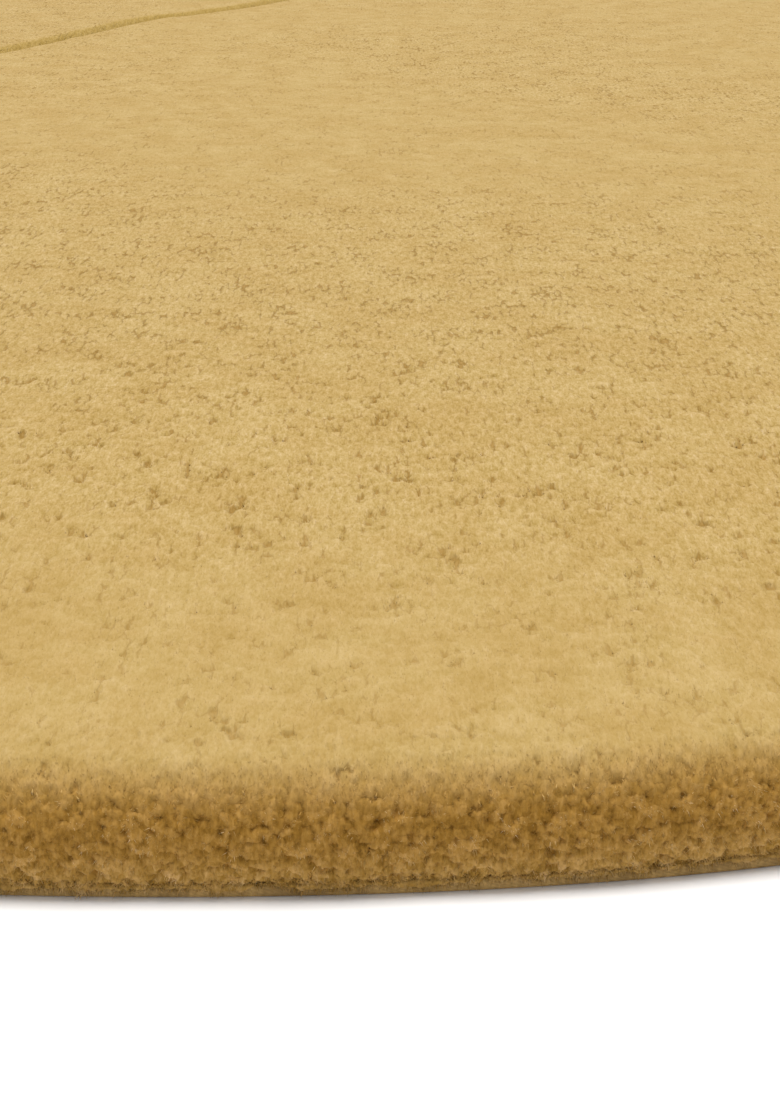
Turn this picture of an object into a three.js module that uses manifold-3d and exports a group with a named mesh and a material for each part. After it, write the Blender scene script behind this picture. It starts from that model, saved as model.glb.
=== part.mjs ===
// A hand-tufted wool rug with a cut pile, lying flat, in millimetres, +Z up.
// The origin is the middle of the underside. The long way of the rug lies along Y.
// The pile has a sheared flat top, a rounded shoulder and an upright side wall, and one
// thin line is carved into it with shears. A canvas backing is glued on underneath.

import * as THREE from 'three';
import Module from 'manifold-3d';
import { mergeVertices } from 'three/addons/utils/BufferGeometryUtils.js';

const wasm = await Module();
wasm.setup();

// Driving sizes
const RUG_WIDTH = 900;
const RUG_LENGTH = 1000;
const RUG_THICKNESS = 17;
const BACKING_THICKNESS = 2;
const GLUE_GAP = 0.3;
const BACKING_INSET = 1.6;

// Pile section: how far its foot is drawn in, how high its widest girth lies, and how far
// in the rounded shoulder reaches
const FOOT_DRAW_IN = 1.2;
const GIRTH_HEIGHT = 7;
const SHOULDER_REACH = 8.5;
const FOOT_STEPS = 3;
const SHOULDER_STEPS = 8;

// Carved line: a valley with soft lips, open at the top and narrow at the bottom. The
// cutter's lip starts a little above the pile, so it meets the flat top at an angle.
const CARVED_HALF_WIDTH = 8;
const CARVED_DEPTH = 6;
const CARVED_LIP_RISE = 0.2;
const CARVED_FLOOR_HALF_WIDTH = 0.8;
const CARVED_FLANK_STEPS = 4;
const CARVED_STEPS = 104;
const CUTTER_HEADROOM = 2;

// Outline steps round the rug, for the pile and for the backing
const OUTLINE_STEPS = 220;

// The outline is a rounded pebble: a mean radius with a few soft swells. Each swell has a
// number of waves round the rug, a height in millimetres and a turn in degrees.
const MEAN_RADIUS = 475;
const SWELLS = [
  { waves: 2, height: -25, turn: 0 },
  { waves: 3, height: 8, turn: 112 },
  { waves: 4, height: 2.4, turn: 20 },
  { waves: 5, height: 1.6, turn: 120 },
  { waves: 11, height: 0.6, turn: 260 },
  { waves: 14, height: 0.6, turn: 0 },
];

// Route of the carved line over the top, from the left side to the far end. It was cut
// by hand, so it wanders a little.
const CARVED_ROUTE = [
  { x: -511, y: -287 },
  { x: -443, y: -236 },
  { x: -387, y: -196 },
  { x: -336, y: -148 },
  { x: -284, y: -98 },
  { x: -238, y: -44 },
  { x: -194, y: 9 },
  { x: -159, y: 62 },
  { x: -130, y: 116 },
  { x: -111, y: 157 },
  { x: -94, y: 196 },
  { x: -84, y: 218 },
  { x: -74, y: 234 },
  { x: -62, y: 243 },
  { x: -51, y: 257 },
  { x: -39, y: 271 },
  { x: -21, y: 301 },
  { x: 0, y: 346 },
  { x: 15, y: 393 },
  { x: 33, y: 441 },
  { x: 48, y: 490 },
  { x: 66, y: 545 },
];

// Finish of each piece
const WOOL = { colour: 0xcfab6c, roughness: 0.95 };
const CANVAS = { colour: 0xa6936b, roughness: 0.9 };

// Points of the outline, with the inward normal at each, fitted to the rug's width and
// length and centred on the origin.
function rugOutline(steps) {
  const points = [];
  for (let i = 0; i < steps; i += 1) {
    const angle = (2 * Math.PI * i) / steps;
    let radius = MEAN_RADIUS;
    for (const { waves, height, turn } of SWELLS) {
      radius += height * Math.cos(waves * angle - THREE.MathUtils.degToRad(turn));
    }
    points.push(new THREE.Vector2(radius * Math.cos(angle), radius * Math.sin(angle)));
  }
  const box = new THREE.Box2().setFromPoints(points);
  const size = box.getSize(new THREE.Vector2());
  const centre = box.getCenter(new THREE.Vector2());
  const scale = new THREE.Vector2(RUG_WIDTH / size.x, RUG_LENGTH / size.y);
  for (const point of points) {
    point.sub(centre).multiply(scale);
  }
  return points.map((point, i) => {
    const ahead = points[(i + 1) % steps];
    const behind = points[(i + steps - 1) % steps];
    const along = new THREE.Vector2().subVectors(ahead, behind).normalize();
    return { point, inward: new THREE.Vector2(-along.y, along.x) };
  });
}

// A closed body from rings that follow the outline. Each row of the section says how far
// a ring is drawn in from the outline and how high it lies. The first and the last ring
// are closed flat.
function bodyFromSection(outline, section) {
  const steps = outline.length;
  const vertices = [];
  const triangles = [];
  for (const { drawIn, height } of section) {
    for (const { point, inward } of outline) {
      vertices.push(point.x + drawIn * inward.x, point.y + drawIn * inward.y, height);
    }
  }
  for (let ring = 0; ring + 1 < section.length; ring += 1) {
    for (let i = 0; i < steps; i += 1) {
      const next = (i + 1) % steps;
      const low = ring * steps;
      const high = low + steps;
      triangles.push(low + i, low + next, high + next);
      triangles.push(low + i, high + next, high + i);
    }
  }
  const underside = vertices.length / 3;
  vertices.push(0, 0, section[0].height);
  const top = underside + 1;
  vertices.push(0, 0, section[section.length - 1].height);
  const lastRing = (section.length - 1) * steps;
  for (let i = 0; i < steps; i += 1) {
    const next = (i + 1) % steps;
    triangles.push(underside, next, i);
    triangles.push(top, lastRing + i, lastRing + next);
  }
  return closedGeometry(vertices, triangles);
}

function closedGeometry(vertices, triangles) {
  const geometry = new THREE.BufferGeometry();
  geometry.setAttribute('position', new THREE.Float32BufferAttribute(vertices, 3));
  geometry.setIndex(triangles);
  return geometry;
}

// The pile's side, from its foot up: drawn in at the foot, widest at the girth, then over
// the rounded shoulder on to the flat top.
function pileSection() {
  const foot = BACKING_THICKNESS + GLUE_GAP;
  const rise = GIRTH_HEIGHT - foot;
  const section = [];
  for (let i = 0; i < FOOT_STEPS; i += 1) {
    const turn = (Math.PI / 2) * (i / FOOT_STEPS);
    section.push({
      drawIn: FOOT_DRAW_IN * (1 - Math.sin(turn)),
      height: foot + rise * (i / FOOT_STEPS),
    });
  }
  const shoulderRise = RUG_THICKNESS - GIRTH_HEIGHT;
  for (let i = 0; i <= SHOULDER_STEPS; i += 1) {
    const turn = (Math.PI / 2) * (i / SHOULDER_STEPS);
    section.push({
      drawIn: SHOULDER_REACH * (1 - Math.cos(turn)),
      height: GIRTH_HEIGHT + shoulderRise * Math.sin(turn),
    });
  }
  return section;
}

// The backing is a flat sheet, cut a little inside the pile's outline.
function backingSection() {
  return [
    { drawIn: BACKING_INSET, height: 0 },
    { drawIn: BACKING_INSET, height: BACKING_THICKNESS },
  ];
}

// Section of the carved valley, across it and up, as a closed loop: straight up past the
// pile's top, then down each flank, which is steep at the bottom and soft at the lip.
function carvedSection() {
  const flank = [];
  for (let i = 0; i <= CARVED_FLANK_STEPS; i += 1) {
    const share = i / CARVED_FLANK_STEPS;
    const spread = CARVED_HALF_WIDTH - CARVED_FLOOR_HALF_WIDTH;
    const fall = (CARVED_LIP_RISE + CARVED_DEPTH) * share * share;
    flank.push({
      across: CARVED_HALF_WIDTH - spread * share,
      height: RUG_THICKNESS + CARVED_LIP_RISE - fall,
    });
  }
  const rim = { across: CARVED_HALF_WIDTH, height: RUG_THICKNESS + CUTTER_HEADROOM };
  const left = [rim, ...flank].map(({ across, height }) => ({ across: -across, height }));
  const right = [...flank].reverse();
  right.push(rim);
  return [...left, ...right];
}

// The cutter that is taken out of the pile: the valley's section swept along its route.
function carvedCutter() {
  const route = new THREE.CatmullRomCurve3(
    CARVED_ROUTE.map(({ x, y }) => new THREE.Vector3(x, y, 0)),
    false,
    'centripetal',
  );
  const loop = carvedSection();
  const count = loop.length;
  const vertices = [];
  const triangles = [];
  for (let i = 0; i <= CARVED_STEPS; i += 1) {
    const centre = route.getPointAt(i / CARVED_STEPS);
    const along = route.getTangentAt(i / CARVED_STEPS);
    for (const { across, height } of loop) {
      vertices.push(centre.x + across * along.y, centre.y - across * along.x, height);
    }
  }
  for (let i = 0; i < CARVED_STEPS; i += 1) {
    for (let j = 0; j < count; j += 1) {
      const next = (j + 1) % count;
      const near = i * count;
      const far = near + count;
      triangles.push(near + j, far + next, near + next);
      triangles.push(near + j, far + j, far + next);
    }
  }
  const shape = loop.map(({ across, height }) => new THREE.Vector2(across, height));
  const endFaces = THREE.ShapeUtils.triangulateShape(shape, []);
  const lastLoop = CARVED_STEPS * count;
  for (const [a, b, c] of endFaces) {
    triangles.push(a, b, c);
    triangles.push(lastLoop + a, lastLoop + c, lastLoop + b);
  }
  return closedGeometry(vertices, triangles);
}

function solidOf(geometry) {
  const merged = mergeVertices(geometry);
  return new wasm.Manifold(
    new wasm.Mesh({
      numProp: 3,
      vertProperties: new Float32Array(merged.attributes.position.array),
      triVerts: new Uint32Array(merged.index.array),
    }),
  );
}

function geometryOf(solid) {
  const mesh = solid.getMesh();
  return closedGeometry(mesh.vertProperties, Array.from(mesh.triVerts));
}

function namedMesh(name, geometry, { colour, roughness }) {
  geometry.computeVertexNormals();
  const material = new THREE.MeshStandardMaterial({ color: colour, roughness, metalness: 0 });
  const mesh = new THREE.Mesh(geometry, material);
  mesh.name = name;
  return mesh;
}

function woolPile(outline) {
  const uncut = solidOf(bodyFromSection(outline, pileSection()));
  const carved = uncut.subtract(solidOf(carvedCutter()));
  return namedMesh('wool_pile', geometryOf(carved), WOOL);
}

function backingCloth(outline) {
  const geometry = bodyFromSection(outline, backingSection());
  return namedMesh('backing_cloth', geometry, CANVAS);
}

const outline = rugOutline(OUTLINE_STEPS);
const rug = new THREE.Group();
rug.add(woolPile(outline));
rug.add(backingCloth(outline));

export default rug;
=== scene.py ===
"""A hand-tufted wool rug with a sheared cut pile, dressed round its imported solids.

The pile is one closed sheet, worked finely along the near edge and coarser away from it, with
wool fibre standing on its wall, its shoulder and its top. A canvas backing lies under it.
Lengths are in metres.
"""

import logging
import math
from dataclasses import dataclass, field
from enum import Enum

import bpy
import numpy as np
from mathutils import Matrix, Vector
from mathutils.geometry import delaunay_2d_cdt
from mathutils.kdtree import KDTree


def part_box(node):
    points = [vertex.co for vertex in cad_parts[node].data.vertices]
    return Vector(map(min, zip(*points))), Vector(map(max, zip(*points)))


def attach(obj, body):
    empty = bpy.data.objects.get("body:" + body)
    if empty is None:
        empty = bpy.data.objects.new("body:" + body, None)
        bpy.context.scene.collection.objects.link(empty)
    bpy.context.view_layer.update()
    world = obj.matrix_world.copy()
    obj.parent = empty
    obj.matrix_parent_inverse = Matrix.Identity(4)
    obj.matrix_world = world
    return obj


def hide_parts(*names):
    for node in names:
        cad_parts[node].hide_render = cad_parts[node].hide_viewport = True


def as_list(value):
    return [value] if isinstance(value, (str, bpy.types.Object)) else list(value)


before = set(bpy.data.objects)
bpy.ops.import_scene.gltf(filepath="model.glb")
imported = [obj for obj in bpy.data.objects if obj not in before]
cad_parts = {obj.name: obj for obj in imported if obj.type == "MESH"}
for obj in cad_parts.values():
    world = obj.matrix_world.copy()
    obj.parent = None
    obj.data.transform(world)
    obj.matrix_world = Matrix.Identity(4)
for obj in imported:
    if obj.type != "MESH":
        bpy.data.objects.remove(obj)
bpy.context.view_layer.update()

MM = 0.001
SEED = 41
TINY = 1e-9  # kept under a divisor
MERGED = 1e-6  # millimetres below which two places are one
log = logging.getLogger("rug")

Array = np.ndarray
Socket = bpy.types.NodeSocket
Thing = bpy.types.Object


class WoolPart(Enum):
    """Which part of the pile a wool finish is for."""

    SHEET = "sheet"
    FIBRE = "fibre"


def unit(rows: Array) -> Array:
    """Rows drawn to a length of 1."""
    return rows / np.linalg.norm(rows, axis=1)[:, None]


def at_height(places: Array, height: float = 0.0) -> Array:
    """Places across and along, all put at one height."""
    return np.column_stack([places, np.full(len(places), height)])


def placed(name: str, data: bpy.types.ID) -> Thing:
    """Makes an object and links it to the scene.

    Args:
        name: the object's name.
        data: its mesh, camera or lamp.

    Returns:
        The object.
    """
    thing = bpy.data.objects.new(name, data)
    bpy.context.scene.collection.objects.link(thing)
    return thing


@dataclass(frozen=True)
class Waves:
    """Soft noise: waves for each millimetre, octaves past the first, and how strong each is."""

    often: float
    octaves: float = 1.0
    strength: float = 0.5


@dataclass
class NodeBench:
    """Adds pattern nodes to one node tree, whether the tree shapes a mesh or colours it."""

    # The two colours among the inputs of a mixing node
    MIXED_COLOURS = slice(6, 8)

    tree: bpy.types.NodeTree

    @classmethod
    def for_material(cls, name: str) -> tuple[bpy.types.Material, "NodeBench"]:
        """Makes an empty material.

        Args:
            name: the material's name.

        Returns:
            The material and the bench for its nodes.
        """
        material = bpy.data.materials.new(name)
        material.use_nodes = True
        material.node_tree.nodes.clear()
        return material, cls(material.node_tree)

    def put(self, kind: str, **settings: object) -> bpy.types.Node:
        """Adds a node.

        Args:
            kind: the node's type name.
            settings: properties to set on it.

        Returns:
            The new node.
        """
        node = self.tree.nodes.new(kind)
        for name, value in settings.items():
            setattr(node, name, value)
        return node

    def feed(self, socket: Socket, value: object) -> None:
        """Links a socket to an input, or sets the input to a plain value.

        Args:
            socket: the input to feed.
            value: an output socket, a number or a tuple.
        """
        if isinstance(value, Socket):
            self.tree.links.new(value, socket)
        else:
            socket.default_value = value

    def math(self, operation: str, *values: object, clamp: bool = False) -> Socket:
        """Works one sum on one to three values.

        Args:
            operation: the sum's name, such as MULTIPLY.
            values: sockets or numbers.
            clamp: whether the result is held between 0 and 1.

        Returns:
            The result.
        """
        node = self.put("ShaderNodeMath", operation=operation, use_clamp=clamp)
        for socket, value in zip(node.inputs, values):
            self.feed(socket, value)
        return node.outputs[0]

    def about_0(self, value: object) -> Socket:
        """Turns a value about 0.5 into one about 0."""
        return self.math("SUBTRACT", value, 0.5)

    def total(self, *shares: tuple, start: object = 0.0) -> Socket:
        """Adds up values, each times its size.

        Args:
            shares: pairs of a value and its size.
            start: what they are added to.

        Returns:
            The total.
        """
        for value, size in shares:
            start = self.math("MULTIPLY_ADD", value, size, start)
        return start

    def move(self, where: object, scale: tuple, shift: tuple = (0.0, 0.0, 0.0)) -> Socket:
        """Stretches and shifts a place.

        Args:
            where: the place's socket.
            scale: how much each axis is stretched.
            shift: what is added after that.

        Returns:
            The new place.
        """
        node = self.put("ShaderNodeVectorMath", operation="MULTIPLY_ADD")
        for socket, value in zip(node.inputs, (where, scale, shift)):
            self.feed(socket, value)
        return node.outputs[0]

    def in_mm(self, where: object) -> Socket:
        """A place in millimetres, given in metres."""
        return self.move(where, (1 / MM,) * 3)

    def noise(self, where: object, waves: Waves, dimensions: str = "2D") -> Socket:
        """Soft noise about 0.5.

        Args:
            where: the place, in millimetres.
            waves: how fine and how rough it is.
            dimensions: 2D, or 3D where height counts too.

        Returns:
            The noise's value.
        """
        node = self.put("ShaderNodeTexNoise", noise_dimensions=dimensions)
        self.feed(node.inputs["Vector"], where)
        node.inputs["Scale"].default_value = waves.often
        node.inputs["Detail"].default_value = waves.octaves
        node.inputs["Roughness"].default_value = waves.strength
        return node.outputs[0]

    def cells(self, where: object, scale: float) -> tuple[Socket, Socket]:
        """Cells round many loose seeds.

        Args:
            where: the place, in millimetres.
            scale: seeds for each millimetre.

        Returns:
            How far the nearest seed lies, in steps between seeds, and a value from 0 to 1 that
            is the same all over a cell.
        """
        node = self.put("ShaderNodeTexVoronoi", voronoi_dimensions="2D", feature="F1")
        self.feed(node.inputs["Vector"], where)
        node.inputs["Scale"].default_value = scale
        return node.outputs["Distance"], self.axes(node.outputs["Color"])[0]

    def warp(self, where: object, scale: float, size: float) -> Socket:
        """Bends a place to and fro.

        Args:
            where: the place, in millimetres.
            scale: waves for each millimetre.
            size: how far it is bent.

        Returns:
            The bent place.
        """
        node = self.put("ShaderNodeTexNoise", noise_dimensions="2D")
        self.feed(node.inputs["Vector"], where)
        node.inputs["Scale"].default_value = scale
        bend = self.move(node.outputs["Color"], (size, size, 0.0), (-size / 2, -size / 2, 0.0))
        add = self.put("ShaderNodeVectorMath", operation="ADD")
        self.feed(add.inputs[0], where)
        self.feed(add.inputs[1], bend)
        return add.outputs[0]

    def spread(self, value: object, low: object, high: object, to_low: float = 0.0,
               to_high: float = 1.0, soft: bool = True) -> Socket:
        """Maps a range on to another, held at its ends.

        Args:
            value: what is mapped.
            low: where the range starts.
            high: where it ends.
            to_low: the result at low.
            to_high: the result at high.
            soft: whether the ends are eased.

        Returns:
            The mapped value.
        """
        kind = "SMOOTHSTEP" if soft else "LINEAR"
        node = self.put("ShaderNodeMapRange", interpolation_type=kind, clamp=True)
        for socket, given in zip(node.inputs, (value, low, high, to_low, to_high)):
            self.feed(socket, given)
        return node.outputs[0]

    def tint(self, factor: object, first: object, second: object, kind: str = "MIX") -> Socket:
        """Mixes two colours.

        Args:
            factor: how much of the second.
            first: the first colour.
            second: the second colour.
            kind: MIX or MULTIPLY.

        Returns:
            The mixed colour.
        """
        node = self.put("ShaderNodeMix", data_type="RGBA", blend_type=kind)
        self.feed(node.inputs[0], factor)
        for socket, value in zip(node.inputs[self.MIXED_COLOURS], (first, second)):
            self.feed(socket, value)
        return node.outputs[2]

    def axes(self, where: object) -> list[Socket]:
        """Parts a place or a colour into its three values.

        Args:
            where: the place or the colour.

        Returns:
            One socket for each value.
        """
        node = self.put("ShaderNodeSeparateXYZ")
        self.feed(node.inputs[0], where)
        return list(node.outputs)

    def shader(self, settings: dict[str, object]) -> bpy.types.Node:
        """Adds the surface's shader, with what is the same all over set on its own sockets.

        Args:
            settings: values by socket name.

        Returns:
            The shader node.
        """
        shader = self.put("ShaderNodeBsdfPrincipled")
        for name, value in settings.items():
            shader.inputs[name].default_value = value
        output = self.put("ShaderNodeOutputMaterial")
        self.feed(output.inputs["Surface"], shader.outputs[0])
        return shader

    def roughen(self, shader: bpy.types.Node, height: Socket, strength: object) -> None:
        """Adds a bump to a shader.

        Args:
            shader: the shader node.
            height: the bump's height, in millimetres.
            strength: how much of it shows.
        """
        bump = self.put("ShaderNodeBump")
        self.feed(bump.inputs["Height"], self.math("MULTIPLY", height, MM))
        self.feed(bump.inputs["Strength"], strength)
        bump.inputs["Distance"].default_value = 1.0
        self.feed(shader.inputs["Normal"], bump.outputs[0])


@dataclass
class TuftMarks:
    """What the tuft pattern gives at a place: how open a pit is, the wool's tone about 1, how
    pale a tuft's tip is and how strong the grain is, then fine and broad heights in
    millimetres."""

    pit: Socket
    tone: Socket
    pale: Socket
    rough: Socket
    fine: Socket
    broad: Socket


@dataclass(frozen=True)
class TuftPattern:
    """The lie of the tufts in the sheared pile: felted together on the top, with small pits
    left open where tufts meet, thick in some places and rare in others, and standing free on
    the side. The same pattern shapes the pile and colours it. Sizes are in millimetres, waves
    are for each millimetre."""

    stretch: float = 0.38
    tuft_pitch: float = 1.05
    side_pitch: float = 1.05
    warp_waves: float = 0.9
    warp_size: float = 1.2
    pale_from: float = 0.6
    pit_from: float = 0.63
    pit_to: float = 1.04
    pit_choice: float = 0.85
    choice_waves: Waves = Waves(0.35)
    pit_cluster: float = 0.95
    cluster_waves: Waves = Waves(0.085, 2.0, 0.55)
    wear_waves: Waves = Waves(0.004)
    wear_place: tuple = (970.0, -570.0, 0.0)
    wear_from: float = 0.36
    wear_to: float = 0.62
    wear_calm: float = 0.06
    wear_faint: float = 0.62
    wear_smooth: float = 0.45
    row_pitch: float = 2.4
    row_pull: float = 0.1
    row_wander: float = 9.0
    row_wander_waves: Waves = Waves(0.07)
    row_shown_waves: Waves = Waves(0.1, 2.0)
    row_shown_from: float = 0.45
    row_shown_to: float = 0.65
    side_opening: float = 0.08
    pit_depth: float = 0.9
    side_pit_depth: float = 0.5
    tuft_waves: Waves = Waves(1.0, 2.0, 0.6)
    tuft_height: float = 0.9
    grain_waves: Waves = Waves(2.6, 2.0, 0.65)
    grain_height: float = 0.25
    lump_waves: Waves = Waves(0.16, 2.0, 0.7)
    lump_height: float = 0.5
    swell_waves: Waves = Waves(0.05)
    swell_height: float = 0.6
    dome_height: float = 0.4
    dome_reach: float = 0.45
    free_from: float = 0.3
    grain_tone: float = 0.55
    tuft_tone: float = 0.6
    lump_tone: float = 0.24
    side_tone: float = 0.4

    def lay_out(self, bench: NodeBench, lay: Socket, flare: Socket) -> TuftMarks:
        """Adds the pattern's nodes.

        Args:
            bench: where the nodes go.
            lay: the place on the flattened pile, in metres.
            flare: 0 on the flat top and 1 on the side wall.

        Returns:
            The pattern's marks.
        """
        place = bench.in_mm(lay)
        long_way = bench.move(place, (1.0, self.stretch, 0.0))
        side_bent = bench.warp(place, self.warp_waves, self.warp_size)
        side_gap, each = bench.cells(side_bent, 1 / self.side_pitch)
        free = bench.spread(flare, self.free_from, 1.0)
        pale = bench.math("MULTIPLY", bench.spread(each, self.pale_from, 1.0), free)
        worn = bench.move(place, (1.0,) * 3, self.wear_place)
        wear = bench.spread(bench.noise(worn, self.wear_waves), self.wear_from, self.wear_to)
        side_pit = bench.spread(side_gap, self.pit_from - self.side_opening,
                                self.pit_to - self.side_opening)
        pit = bench.spread(free, 0.0, 1.0, self.top_pit(bench, place, long_way, wear), side_pit,
                           soft=False)

        grain = bench.about_0(bench.noise(long_way, self.grain_waves))
        tuft = bench.about_0(bench.noise(long_way, self.tuft_waves))
        lump = bench.about_0(bench.noise(place, self.lump_waves))
        swell = bench.about_0(bench.noise(place, self.swell_waves))
        rough = bench.math("MULTIPLY_ADD", wear, 1 - self.wear_smooth, self.wear_smooth)
        rough = bench.math("MAXIMUM", rough, free)
        tone = bench.total((grain, self.grain_tone), (tuft, self.tuft_tone))
        tone = bench.math("MULTIPLY_ADD", tone, rough, 1.0)
        uneven = bench.math("MULTIPLY", bench.about_0(each), free)
        tone = bench.total((uneven, self.side_tone), (lump, self.lump_tone), start=tone)

        depth = bench.spread(free, 0.0, 1.0, -self.pit_depth, -self.side_pit_depth, soft=False)
        dome = bench.math("MULTIPLY", bench.math("SUBTRACT", self.dome_reach, side_gap), free)
        fine = bench.total((pit, depth), (tuft, self.tuft_height), (grain, self.grain_height),
                           (dome, self.dome_height))
        broad = bench.total((lump, self.lump_height), (swell, self.swell_height))
        return TuftMarks(pit, tone, pale, rough, fine, broad)

    def top_pit(self, bench: NodeBench, place: Socket, long_way: Socket, wear: Socket) -> Socket:
        """Pits of the felted top, thick in some places, and few and faint where wear is 0.

        Args:
            bench: where the nodes go.
            place: the place on the flattened pile, in millimetres.
            long_way: the same place, drawn together along the rug.
            wear: how open the pile is worn, from 0 to 1.

        Returns:
            How open a pit is.
        """
        bent = bench.warp(long_way, self.warp_waves, self.warp_size)
        gap, _ = bench.cells(bent, 1 / self.tuft_pitch)
        cluster = bench.about_0(bench.noise(place, self.cluster_waves))
        choice = bench.about_0(bench.noise(long_way, self.choice_waves))
        reach = bench.total((cluster, self.pit_cluster), (choice, self.pit_choice),
                            (self.rows(bench, place), self.row_pull), (wear, self.wear_calm),
                            start=gap)
        pit = bench.spread(reach, self.pit_from + self.wear_calm, self.pit_to + self.wear_calm)
        faint = bench.math("MULTIPLY_ADD", wear, 1 - self.wear_faint, self.wear_faint)
        return bench.math("MULTIPLY", pit, faint)

    def rows(self, bench: NodeBench, place: Socket) -> Socket:
        """Faint rows across the rug, as they were tufted, that come and go.

        Args:
            bench: where the nodes go.
            place: the place on the flattened pile, in millimetres.

        Returns:
            The rows, 1 between two rows where they show.
        """
        wander = bench.noise(place, self.row_wander_waves)
        along = bench.math("MULTIPLY_ADD", wander, self.row_wander, bench.axes(place)[1])
        wave = bench.math("SINE", bench.math("MULTIPLY", along, 2 * math.pi / self.row_pitch))
        shown = bench.spread(bench.noise(place, self.row_shown_waves), self.row_shown_from,
                             self.row_shown_to)
        return bench.math("MULTIPLY", bench.math("MULTIPLY_ADD", wave, 0.5, 0.5), shown)


@dataclass(frozen=True)
class WoolFinish:
    """Golden ochre wool: matt, paler on the sheared top, deeper and redder on its side, where the
    depth of colour is partly the wool's own and partly painted light bounced among the fibres.
    Painted shade darkens the pits, the fibres' roots and the carved valley.
    """

    pattern: TuftPattern
    light: tuple = (0.362, 0.248, 0.088, 1.0)
    warm: tuple = (0.337, 0.221, 0.070, 1.0)
    # Painted shade in the open pits: the deep browns they darken towards, on the top and on the
    # side
    pit: tuple = (0.195, 0.095, 0.005, 1.0)
    side_pit: tuple = (0.25, 0.105, 0.008, 1.0)
    # Painted shade among the fibres: the dark colour at the fibres' roots and of the sheet under
    # the side's fibres
    root_shade: tuple = (0.295, 0.153, 0.026, 1.0)
    # The side's deeper, redder colour: partly the wool's own, partly painted light bounced among
    # the fibres
    side: tuple = (0.415, 0.226, 0.048, 1.0)
    side_tip: tuple = (0.58, 0.40, 0.15, 1.0)
    foot: tuple = (0.385, 0.227, 0.058, 1.0)
    # Painted shade down the carved valley, partly the deeper colour of the pile's cut sides
    groove_shade: tuple = (0.312, 0.205, 0.052, 1.0)
    side_full: float = 0.95
    foot_tint: float = 0.8
    foot_low: float = 1.0
    foot_high: float = 9.0
    # How far the painted pit shade goes, on the top and on the side
    pit_shade_share: float = 0.61
    side_pit_shade_share: float = 0.4
    blotch_waves: Waves = Waves(0.045, 5.0, 0.75)
    blotch_from: float = 0.34
    blotch_to: float = 0.66
    # How far up each fibre the painted root shade reaches
    root_shade_to: float = 0.3
    fibre_tone: float = 0.22
    groove_shade_full: float = 0.12
    tone_spread: tuple = (1.0, 1.22, 2.6)
    roughness: float = 0.92
    sheen: float = 0.10
    sheen_roughness: float = 0.45
    sheen_tint: tuple = (1.0, 0.92, 0.74, 1.0)
    specular: float = 0.15
    bump: float = 0.5
    near_bump: float = 0.35

    def material(self, name: str, part: WoolPart) -> bpy.types.Material:
        """Makes the wool's material.

        Args:
            name: the material's name.
            part: the sheet or the fibre that stands on it.

        Returns:
            The material.
        """
        material, bench = NodeBench.for_material(name)
        shader = bench.shader({
            "Roughness": self.roughness, "Specular IOR Level": self.specular,
            "Sheen Weight": self.sheen, "Sheen Roughness": self.sheen_roughness,
            "Sheen Tint": self.sheen_tint})
        lay = bench.put("ShaderNodeAttribute", attribute_name="lay").outputs["Vector"]
        flare, carved, shade, reach, relief = (
            bench.put("ShaderNodeAttribute", attribute_name=name).outputs["Fac"]
            for name in ("flare", "carved", "shade", "reach", "relief"))
        marks = self.pattern.lay_out(bench, lay, flare)
        place = bench.in_mm(lay)
        blotch = bench.spread(bench.noise(place, self.blotch_waves), self.blotch_from,
                              self.blotch_to)
        colour = bench.tint(blotch, self.light, self.warm)
        # On the sheet the side takes the painted root shade, as it lies in shade under the fibres
        side, tone = self.root_shade, marks.tone
        if part is WoolPart.FIBRE:
            # Each fibre darkens towards its root: painted shade among the fibres
            side = bench.tint(bench.spread(reach, self.root_shade_to, 1.0), self.root_shade, self.side)
            side = bench.tint(marks.pale, side, self.side_tip)
            uneven = bench.math("MULTIPLY", bench.about_0(shade), marks.rough)
            tone = bench.math("MULTIPLY_ADD", uneven, self.fibre_tone, tone)
        else:
            near_bump = bench.math("MULTIPLY_ADD", relief, self.near_bump - self.bump, self.bump)
            bench.roughen(shader, marks.fine, near_bump)
        # Down the side the colour turns deeper and redder, partly as painted bounced light
        colour = bench.tint(bench.spread(flare, 0.0, self.side_full), colour, side)
        height = bench.axes(bench.put("ShaderNodeTexCoord").outputs["Object"])[2]
        low = bench.spread(height, self.foot_low * MM, self.foot_high * MM, self.foot_tint, 0.0)
        colour = bench.tint(low, colour, self.foot)
        # Painted shade: the wool darkens towards a deep brown where the pits open
        pit_shade_amount = bench.math("MULTIPLY_ADD", flare, self.side_pit_shade_share - self.pit_shade_share, self.pit_shade_share)
        pit_shade_colour = bench.tint(flare, self.pit, self.side_pit)
        colour = bench.tint(bench.math("MULTIPLY", marks.pit, pit_shade_amount), colour, pit_shade_colour)
        # The carved valley darkens: partly painted shade, partly the deeper colour of the pile's
        # cut sides
        colour = bench.tint(bench.spread(carved, 0.0, self.groove_shade_full), colour, self.groove_shade)
        deepen = bench.put("ShaderNodeCombineColor")
        for socket, power in zip(deepen.inputs, self.tone_spread):
            bench.feed(socket, bench.math("POWER", tone, power))
        colour = bench.tint(1.0, colour, deepen.outputs[0], "MULTIPLY")
        bench.feed(shader.inputs["Base Color"], colour)
        return material


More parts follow.
